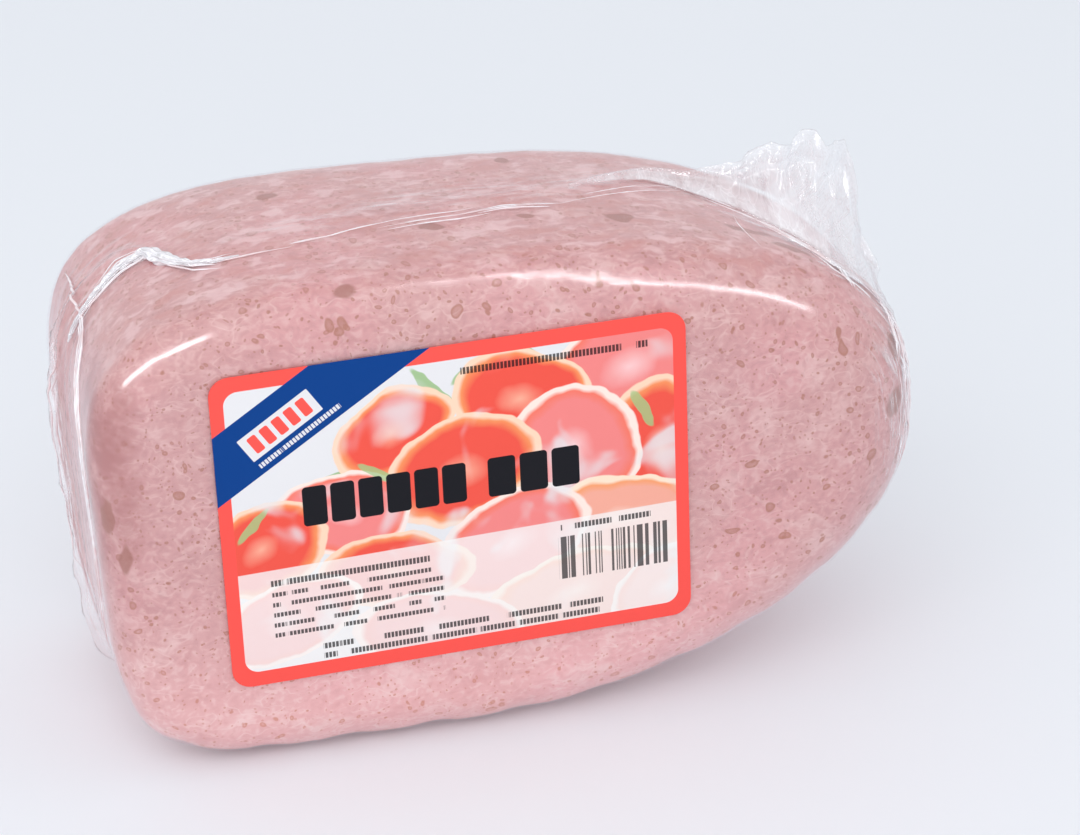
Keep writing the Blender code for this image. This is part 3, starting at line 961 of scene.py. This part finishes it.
def number_setting(name, text, value, **more):
    return FloatProperty(name=name, description=text, default=value, **more)


def length_setting(name, text, value):
    return number_setting(name, text, value, unit="LENGTH", subtype="DISTANCE", precision=5)


class HamLoafMeatSettings(bpy.types.PropertyGroup):
    inside_film: length_setting("Inside film", "How far the meat lies inside the film", 0.0006)
    lump_height: length_setting("Lump height", "Height of the soft lumps of the meat", 0.0008)
    meat_colour: colour_setting("Meat", "Colour of most of the meat", (0.640, 0.330, 0.325))
    rosy_colour: colour_setting("Rosy meat", "Colour of the rosier parts", (0.690, 0.335, 0.340))
    pale_colour: colour_setting("Pale fat", "Colour of pale fat and gristle", (0.790, 0.520, 0.500))
    lean_colour: colour_setting("Lean meat", "Colour of the leaner parts", (0.500, 0.225, 0.225))
    fleck_colour: colour_setting("Flecks", "Colour of flecks and pores", (0.430, 0.155, 0.100))


class HamLoafFilmSettings(bpy.types.PropertyGroup):
    gloss: number_setting("Gloss", "Share of light mirrored face on", 0.056, min=0.0, max=1.0,
                          subtype="FACTOR")
    film_colour: colour_setting("Film", "Colour of the film's veil", (0.97, 0.96, 0.99))
    tail_height: length_setting("Tail height", "How high the gathered tail stands", TAIL_HEIGHT)
    tail_lean: number_setting("Tail lean", "Lean of the tail from upright", radians(8.0),
                              unit="ROTATION", subtype="ANGLE")
    strand_radius: length_setting("Crease radius", "Radius of the thin drawn creases", 0.00026)
    strand_count: IntProperty(name="Creases", description="Creases in each bunch", default=9,
                              min=1, max=40)


class HamLoafLabelSettings(bpy.types.PropertyGroup):
    width: length_setting("Width", "Width of the label", 0.140)
    height: length_setting("Height", "Height of the label", 0.100)
    corner: length_setting("Corner", "Corner radius of the label", 0.0058)
    thickness: length_setting("Thickness", "Thickness of the label", 0.0003)
    tilt_degrees: number_setting("Tilt", "Tilt of the label in degrees", 2.2)
    paper_colour: colour_setting("Paper", "Colour of the bare paper", (0.790, 0.785, 0.800))
    frame_colour: colour_setting("Frame", "Colour of the printed frame", (1.0, 0.100, 0.082))
    band_colour: colour_setting("Band", "Colour of the corner band", (0.001, 0.050, 0.250))
    ink_colour: colour_setting("Ink", "Colour of the printed bars", (0.010, 0.010, 0.014))


class HamLoafStageSettings(bpy.types.PropertyGroup):
    floor_colour: colour_setting("Floor", "Colour of the floor", (0.79, 0.82, 0.86))
    floor_glow: number_setting("Floor glow", "Light that the floor gives off", 0.08, min=0.0)
    surround_colour: colour_setting("Surround", "Colour of the surround", (0.945, 0.955, 0.985))
    surround_strength: number_setting("Surround strength", "Light from all round", 0.875, min=0.0)
    strip_strength: number_setting("Strip strength", "Brightness of the strips", 17.0, min=0.0)
    fill_strength: number_setting("Fill strength", "Brightness of the fill", 1.55, min=0.0)


# Pieces

class HAMLOAF_OT_meat(bpy.types.Operator):
    """Add the pressed ham loaf inside the film"""
    bl_idname = "hamloaf.meat"
    bl_label = "Ham loaf"

    def execute(self, context):
        settings = context.scene.hamloaf_meat
        made, share, across = add_sphere("ham_loaf", 100, 48, 2)
        points, _, _ = loaf_surface(share, across, settings.inside_film, False)
        x, y, z = points.T
        top = smooth_step(0.030, 0.062, z) * smooth_step(0.004, 0.020, y)
        # The end band marks where the meat's colour gets painted shade on the square end
        end = (smooth_step(-0.088, -0.097, x) * smooth_step(0.052, 0.036, z)
               * smooth_step(-0.030, 0.004, z) * smooth_step(0.040, 0.020, y))
        shape_piece(made, points, top=top, end=end)
        group = free_group(made, points)
        ripple(made, "lumps", LUMP_SIZE, settings.lump_height, group)
        ripple(made, "grain", GRAIN_SIZE, settings.lump_height * GRAIN_SHARE, group, 3)
        finish_piece(made, ham_finish(settings), "wrapped_ham")
        return {"FINISHED"}


class HAMLOAF_OT_skin(bpy.types.Operator):
    """Add the clear film drawn over the loaf"""
    bl_idname = "hamloaf.skin"
    bl_label = "Drawn film"

    def execute(self, context):
        settings = context.scene.hamloaf_film
        meat = context.scene.hamloaf_meat
        made, share, across = add_sphere("film_skin", 116, 52, 2)
        points, veil, wrap = loaf_surface(share, across, 0.0, True)
        shape_piece(made, points, veil=veil, wrap=wrap)
        group = free_group(made, points)
        ripple(made, "lumps", LUMP_SIZE, meat.lump_height * SKIN_LUMP_SHARE, group)
        finish_piece(made, skin_finish(settings), "wrapped_ham")
        return {"FINISHED"}


def on_film(degrees, length, follow=1.0, above=0.0):
    """Points and outward directions above the film, where they follow its folds by a share."""
    angle = np.radians(degrees)
    lift, _ = film_folds(angle, length)
    return side_point(angle, length, lift * follow + above)


def tail_points(share, across, settings):
    """A pouch of film that rises from a spread foot to a folded edge above the seam.

    Across runs along the seam from the top to the round end, and share round the pouch.
    """
    degrees = TAIL_TOP[-1][0] - (TAIL_TOP[-1][0] - TAIL_TOP[0][0]) * across
    up = read_pairs(share, TAIL_UP)
    wall = read_pairs(share, TAIL_WALL)
    within = read_pairs(share, TAIL_WITHIN)
    place = outline_place(np.radians(degrees))
    place = np.where(degrees < 0.0, place - OUTLINE_LENGTH, place)
    height = read_pairs(degrees, TAIL_TOP) * settings.tail_height / TAIL_HEIGHT
    height = height * (1.0 + 0.03 * wander(place * 2.0, 1))
    foot = read_pairs(degrees, TAIL_FOOT) * (1.0 + 0.18 * wander(place * 1.4, 3))
    foot = foot * np.where(wall > 0.0, BACK_FOOT_SHARE, 1.0)
    length = seam_length(degrees) + wall * foot * (1.0 - up) ** 2.6
    length = np.clip(length, 0.004, side_length(np.radians(degrees)) - 0.004)
    points, _ = on_film(degrees, length, 1.0, 0.0003 - 0.0030 * within)
    standing = np.clip(height / 0.012, 0.0, 1.0)
    folds = (0.0022 * np.sin(place * 2.0 * pi / 0.0150)
             + 0.0012 * wander(place * 2.2 + up * 0.02, 2)
             + 0.0009 * (2.0 * fold(place / 0.0071 + 0.5 * up) - 1.0))
    crumple = 0.0007 * (2.0 * fold(up * 2.6 + 0.8 * wander(place, 3)) - 1.0)
    creep = 0.0006 * np.sin(pi * up) * (2.0 * fold(place / 0.011 + 2.2 * up) - 1.0)
    gap = 0.0014 * np.sin(pi * up) ** 0.7
    lean = settings.tail_lean
    points[:, 0] += height * up * sin(lean) + standing * creep
    points[:, 1] += standing * (up ** 0.9 * (folds + crumple) + wall * gap)
    points[:, 2] += height * up * cos(lean) + 0.5 * standing * creep
    veil = (0.12 + 0.62 * smooth_step(28.0, 50.0, degrees)) * (1.0 - up) ** 1.1
    veil = veil * smooth_step(0.0, 0.04, up) * smooth_step(80.0, 72.0, degrees)
    wrap = np.stack([place, 0.02 * wall, height * up + foot * (1.0 - up) ** 2], axis=-1)
    return points, veil, wrap


class HAMLOAF_OT_tail(bpy.types.Operator):
    """Add the tail into which the film is gathered at the round end"""
    bl_idname = "hamloaf.tail"
    bl_label = "Film tail"

    def execute(self, context):
        settings = context.scene.hamloaf_film
        finish = crumple_finish("crumpled_tail", settings, 0.10, 0.26, (1.0, 1.0, 0.5))
        made, share, across = add_sphere("film_tail", 26, 56, 2)
        points, veil, wrap = tail_points(share, across, settings)
        shape_piece(made, points, veil=veil, wrap=wrap)
        finish_piece(made, finish, "wrapped_ham")
        return {"FINISHED"}


def path_on_film(path, count):
    """Evenly spaced angles and lengths along a path on the film, with a share from 0 to 1."""
    share = np.linspace(0.0, 1.0, len(path))
    fine = np.linspace(0.0, 1.0, count)
    degrees, length = (np.interp(fine, share, values) for values in zip(*path))
    for values in (degrees, length) * 3:
        values[1:-1] = (values[:-2] + values[1:-1] * 2.0 + values[2:]) / 4.0
    return fine, degrees, length


class HAMLOAF_OT_bunch(bpy.types.Operator):
    """Add the thick bunched pleat of film along the seam at the square end"""
    bl_idname = "hamloaf.bunch"
    bl_label = "Bunched film"

    def execute(self, context):
        settings = context.scene.hamloaf_film
        made, share, across = add_sphere("film_bunch", 20, 160, 1)
        _, degrees, length = path_on_film(BUNCH_PATH, BUNCH_STEPS)
        line, normals = on_film(degrees, length, 0.7, 0.0004)
        forward = np.gradient(line, axis=0)
        forward = forward / np.linalg.norm(forward, axis=1)[:, None]
        sideways = np.cross(forward, normals)
        step = np.clip((across * (BUNCH_STEPS - 1)).astype(int), 0, BUNCH_STEPS - 2)
        part = (across * (BUNCH_STEPS - 1) - step)[:, None]

        def along(values):
            return values[step] * (1.0 - part) + values[step + 1] * part

        size = read_pairs(across, BUNCH_RADII)
        turn = share * 2.0 * pi
        pleats = 0.62 + 0.46 * np.abs(np.sin(4.0 * turn + 7.0 * across))
        pleats = pleats + 0.22 * np.sin(across * 95.0 + 3.0 * np.sin(turn)) * np.sin(across * 23.0)
        radius = size * pleats
        points = (along(line) + along(sideways) * (radius * np.cos(turn))[:, None]
                  + along(normals) * (radius * 0.8 * np.sin(turn))[:, None])
        wrap = np.stack([across * 0.07, 0.003 * np.cos(turn), 0.003 * np.sin(turn)], axis=-1)
        shape_piece(made, points, veil=np.full(len(share), 0.62), wrap=wrap)
        finish = crumple_finish("bunched_film", settings, 0.22, 0.6, (0.4, 1.0, 1.0))
        finish_piece(made, finish, "wrapped_ham")
        return {"FINISHED"}


# Bunches of thin creases: the path, how far they spread across it at its start and end, how
# many times the usual count, how wide their waves are, how thick they are, the longest share of
# the path that one covers, and a seed
BUNCHES = (
    (BUNCH_PATH, (0.0014, 0.0022), 2.6, 0.0011, 0.9, 0.7, 11),
    (TOP_PATH, (0.0008, 0.0026), 1.0, 0.0006, 0.9, 0.30, 12),
    (TAIL_PATH, (0.0009, 0.0042), 2.6, 0.0007, 0.9, 0.35, 13),
    (LEFT_PATH, (0.0018, 0.0022), 0.6, 0.0004, 1.2, 0.8, 14),
    (WEB_PATH, (0.0028, 0.0020), 1.2, 0.0006, 1.1, 0.6, 15),
    (ROUND_PATH, (0.0060, 0.0080), 0.6, 0.0022, 0.8, 0.4, 16),
    (FLARE_PATHS[0], (0.0008, 0.0008), 0.3, 0.0010, 0.8, 1.0, 17),
    (FLARE_PATHS[1], (0.0010, 0.0010), 0.5, 0.0010, 0.9, 1.0, 18),
    (FLARE_PATHS[2], (0.0012, 0.0016), 0.5, 0.0010, 0.8, 1.0, 19),
)


def add_crease(curve, rng, path, spread, wave, heavy, longest):
    """Add one tapered crease to the curve, along a drawn part of a path on the film."""
    fine, degrees, length = path_on_film(path, CREASE_STEPS)
    reach = longest * rng.uniform(0.4, 1.0)
    start = rng.uniform(0.0, 1.0 - reach)
    keep = (fine >= start) & (fine <= start + reach)
    place = outline_place(np.radians(degrees))
    offset = rng.normal(0.0, 1.0)
    length = (length + offset * (spread[0] + (spread[1] - spread[0]) * fine)
              + wave * wander(place, rng.uniform(0.0, 20.0)))
    points, _ = on_film(degrees, length, 1.0, 0.0001)
    points = points[keep] + ORIGIN
    ends = np.sin(np.linspace(0.0, pi, len(points))) ** 0.6
    thick = heavy * rng.uniform(0.5, 1.3) * ends
    thick = thick * (1.0 + 0.4 * wander(place[keep] * 3.0, offset))
    spline = curve.splines.new("POLY")
    spline.points.add(len(points) - 1)
    spline.points.foreach_set("co", np.insert(points, 3, 1.0, axis=1).ravel())
    spline.points.foreach_set("radius", np.clip(thick, 0.06, 3.0))


class HAMLOAF_OT_creases(bpy.types.Operator):
    """Add the thin white creases that run along the gathered film"""
    bl_idname = "hamloaf.creases"
    bl_label = "Film creases"

    def execute(self, context):
        settings = context.scene.hamloaf_film
        curve = bpy.data.curves.new("film_creases", "CURVE")
        curve.dimensions = "3D"
        curve.bevel_depth = settings.strand_radius
        curve.bevel_resolution = 1
        curve.use_fill_caps = True
        for path, spread, more, wave, heavy, longest, seed in BUNCHES:
            rng = np.random.default_rng(seed)
            for _ in range(int(settings.strand_count * more)):
                add_crease(curve, rng, path, spread, wave, heavy, longest)
        made = bpy.data.objects.new("film_creases", curve)
        bpy.context.scene.collection.objects.link(made)
        pick(made)
        bpy.ops.object.convert(target="MESH")
        bpy.ops.object.shade_smooth()
        set_attribute(made, "wrap", get_points(made))
        finish_piece(made, crease_finish(settings), "wrapped_ham")
        return {"FINISHED"}


class HAMLOAF_OT_label(bpy.types.Operator):
    """Add the printed label on the loaf's face"""
    bl_idname = "hamloaf.label"
    bl_label = "Label"

    def execute(self, context):
        settings = context.scene.hamloaf_label
        deselect_all()
        bpy.ops.mesh.primitive_plane_add(size=1.0, location=(0.0, 0.0, 0.0))
        made = context.object
        name_piece(made, "label_print")
        bpy.ops.object.mode_set(mode="EDIT")
        bpy.ops.mesh.select_all(action="SELECT")
        bpy.ops.transform.resize(value=(settings.width, settings.height, 1.0))
        bpy.ops.mesh.bevel(affect="VERTICES", offset=settings.corner, segments=8)
        bpy.ops.mesh.select_all(action="SELECT")
        bpy.ops.mesh.extrude_region_move(
            TRANSFORM_OT_translate={"value": (0.0, 0.0, settings.thickness)})
        bpy.ops.mesh.select_all(action="SELECT")
        bpy.ops.mesh.normals_make_consistent(inside=False)
        bpy.ops.object.mode_set(mode="OBJECT")
        stand = Matrix.Rotation(-radians(settings.tilt_degrees), 4, "Y") @ Matrix.Rotation(
            pi / 2.0, 4, "X")
        made.data.transform(Matrix.Translation(Vector(ORIGIN) - Vector((0.0, GAP, 0.0))) @ stand)
        edge = made.modifiers.new("edge", "BEVEL")
        edge.width = settings.thickness * 0.3
        edge.segments = 2
        apply_modifier(made, "edge")
        bpy.ops.object.shade_smooth_by_angle(angle=radians(30.0))
        finish_piece(made, label_finish(settings), "label")
        return {"FINISHED"}


# Stage: floor, lights and camera. The camera's axes and its place from the label's middle
CAMERA_PLACE = Vector((-0.21083511, -0.85375475, 0.44825479))
CAMERA_RIGHT = Vector((0.96396869, -0.26601571, 0.0))
CAMERA_UP = Vector((0.11504337, 0.41688594, 0.90164912))
CAMERA_BACK = Vector((-0.23985283, -0.86916152, 0.43246834))
LENS = 113.333
SENSOR = 36.0

# Strip lights: the directions of their two ends from the place that all lights face, how wide
# they are and their share of the strength. They only show in gloss, and the fill never does
STRIPS = (
    ((-0.87, -0.25, 0.42), (-0.16, -0.52, 0.84), 0.190, 0.8),
    ((0.24, -0.10, 0.97), (0.43, -0.50, 0.76), 0.085, 0.7),
    ((0.43, -0.50, 0.76), (0.82, -0.34, 0.46), 0.085, 0.9),
)
STRIP_DISTANCE = 1.4
LIT_PLACE = (0.0, 0.05, 0.0)
FLOOR_SIZE = 16.0
FLOOR_SHADE = (0.7, 0.72, 0.78)
FILL_PLACE = (-0.60, -1.20, 1.15)
FILL_SIZE = (1.8, 1.2)


def add_to_scene(name, data, place, turn):
    """Add a light or the camera at a place, turned by a matrix."""
    made = bpy.data.objects.new(name, data)
    bpy.context.scene.collection.objects.link(made)
    made.matrix_world = Matrix.Translation(place) @ turn.to_4x4()
    return made


def add_area_light(name, size, strength, place, turn):
    """Add a soft rectangular light as bright as its strength says, whatever its size."""
    light = bpy.data.lights.new(name, "AREA")
    light.shape = "RECTANGLE"
    light.size, light.size_y = size
    light.energy = strength * pi * size[0] * size[1]
    return add_to_scene(name, light, place, turn)


def from_axes(right, up, back):
    """The turn that has these three directions as its axes."""
    return Matrix((right, up, back)).transposed()


class HAMLOAF_OT_stage(bpy.types.Operator):
    """Add the floor, the soft lights and the camera"""
    bl_idname = "hamloaf.stage"
    bl_label = "Stage"

    def execute(self, context):
        settings = context.scene.hamloaf_stage
        deselect_all()
        bpy.ops.mesh.primitive_plane_add(size=FLOOR_SIZE, location=(0.0, 0.0, -0.0002))
        floor = context.object
        floor.name = "stage_floor"
        finish = Finish("studio_floor")
        colour = settings.floor_colour
        soft = finish.noise(finish.object_place(), 3.0, 2.0)
        tint = finish.blend(finish.fade(soft, 0.3, 0.7, 0.0, 0.03), colour, FLOOR_SHADE)
        floor.data.materials.append(finish.use(finish.principled(
            Base_Color=tint, Roughness=0.6, Specular_IOR_Level=0.1, Emission_Color=colour,
            Emission_Strength=settings.floor_glow)))
        world = bpy.data.worlds.new("studio")
        world.use_nodes = True
        context.scene.world = world
        back = world.node_tree.nodes["Background"]
        back.inputs["Color"].default_value = (*settings.surround_colour, 1.0)
        back.inputs["Strength"].default_value = settings.surround_strength
        target = Vector(ORIGIN) + Vector(LIT_PLACE)
        for number, (first, last, width, share) in enumerate(STRIPS):
            start = target + Vector(first).normalized() * STRIP_DISTANCE
            end = target + Vector(last).normalized() * STRIP_DISTANCE
            middle = (start + end) / 2.0
            away = (middle - target).normalized()
            side = away.cross((end - start).normalized()).normalized()
            strip = add_area_light(f"strip_{number}", ((end - start).length, width),
                                   settings.strip_strength * share, middle,
                                   from_axes(side.cross(away), side, away))
            strip.visible_diffuse = False
        facing = (Vector(FILL_PLACE) - target).to_track_quat("Z", "Y")
        fill = add_area_light("front_fill", FILL_SIZE, settings.fill_strength, FILL_PLACE,
                              facing.to_matrix())
        fill.visible_glossy = False
        camera = bpy.data.cameras.new("view")
        camera.lens = LENS
        camera.sensor_width = SENSOR
        camera.sensor_fit = "HORIZONTAL"
        context.scene.camera = add_to_scene("view", camera, Vector(ORIGIN) + CAMERA_PLACE,
                                            from_axes(CAMERA_RIGHT, CAMERA_UP, CAMERA_BACK))
        context.scene.view_settings.view_transform = "Standard"
        return {"FINISHED"}


OPERATORS = (HAMLOAF_OT_meat, HAMLOAF_OT_skin, HAMLOAF_OT_tail, HAMLOAF_OT_bunch,
             HAMLOAF_OT_creases, HAMLOAF_OT_label, HAMLOAF_OT_stage)
SETTINGS = {"hamloaf_meat": HamLoafMeatSettings, "hamloaf_film": HamLoafFilmSettings,
            "hamloaf_label": HamLoafLabelSettings, "hamloaf_stage": HamLoafStageSettings}


class HAMLOAF_PT_panel(bpy.types.Panel):
    """The settings and steps of the ham loaf"""
    bl_idname = "HAMLOAF_PT_panel"
    bl_label = "Ham loaf"
    bl_space_type = "VIEW_3D"
    bl_region_type = "UI"
    bl_category = "Ham loaf"

    def draw(self, context):
        for name, group in SETTINGS.items():
            box = self.layout.box()
            for key in group.__annotations__:
                box.prop(getattr(context.scene, name), key)
        for step in OPERATORS:
            self.layout.operator(step.bl_idname)


def register():
    for group in SETTINGS.values():
        bpy.utils.register_class(group)
    for step in OPERATORS:
        bpy.utils.register_class(step)
    bpy.utils.register_class(HAMLOAF_PT_panel)
    for name, group in SETTINGS.items():
        setattr(bpy.types.Scene, name, PointerProperty(type=group))


def unregister():
    for name in SETTINGS:
        delattr(bpy.types.Scene, name)
    bpy.utils.unregister_class(HAMLOAF_PT_panel)
    for step in reversed(OPERATORS):
        bpy.utils.unregister_class(step)
    for group in SETTINGS.values():
        bpy.utils.unregister_class(group)


def main():
    register()
    for old in list(bpy.data.objects):
        if old.type in ("CAMERA", "LIGHT") or old.name == "Cube":
            bpy.data.objects.remove(old)
    for step in OPERATORS:
        group, name = step.bl_idname.split(".")
        getattr(getattr(bpy.ops, group), name)()


if __name__ == "__main__":
    main()
